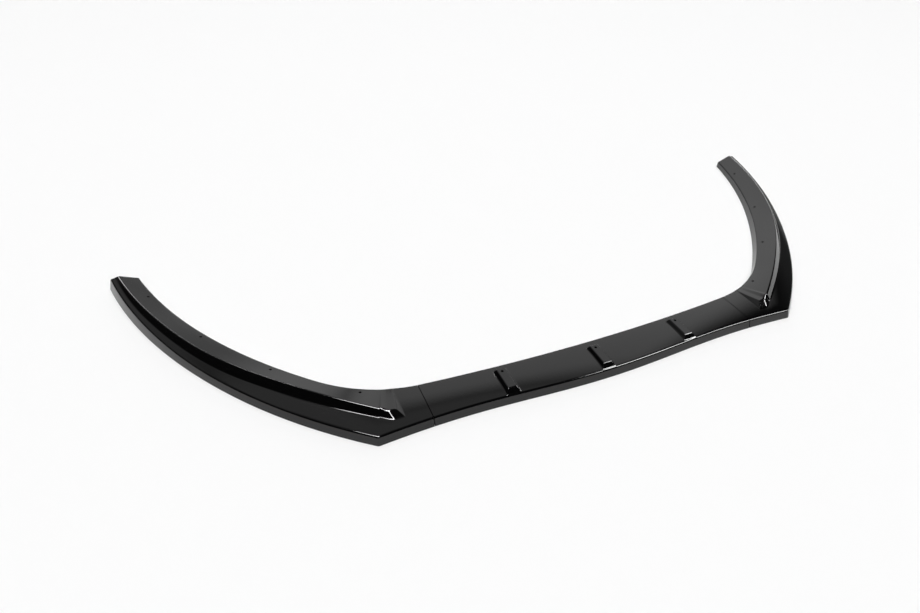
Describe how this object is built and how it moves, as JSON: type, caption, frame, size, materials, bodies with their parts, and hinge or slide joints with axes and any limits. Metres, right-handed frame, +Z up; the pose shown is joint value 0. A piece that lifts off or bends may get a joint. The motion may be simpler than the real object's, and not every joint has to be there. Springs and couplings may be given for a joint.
{
  "type": "front splitter lip",
  "caption": "Black plastic front splitter lip for a car bumper, with raised wings, finned centre section and screw holes along its rear edge.",
  "frame": {"origin": "middle of the box at the lip's flat underside", "axes": "+X across the car to its left, +Y from the front edge to the rear, +Z up"},
  "size_m": [1.7798, 0.6518, 0.0359],
  "materials": {
    "gloss_black": "gloss black moulded plastic",
    "coated_steel": "black coated sheet steel",
    "zinc": "zinc plated steel"
  },
  "bodies": {
    "root": {"left_wing": "gloss_black", "centre_section": "gloss_black", "right_wing": "gloss_black", "left_joint_plate": "coated_steel", "right_joint_plate": "coated_steel", "left_joint_screws": "zinc", "right_joint_screws": "zinc"}
  },
  "joints": []
}
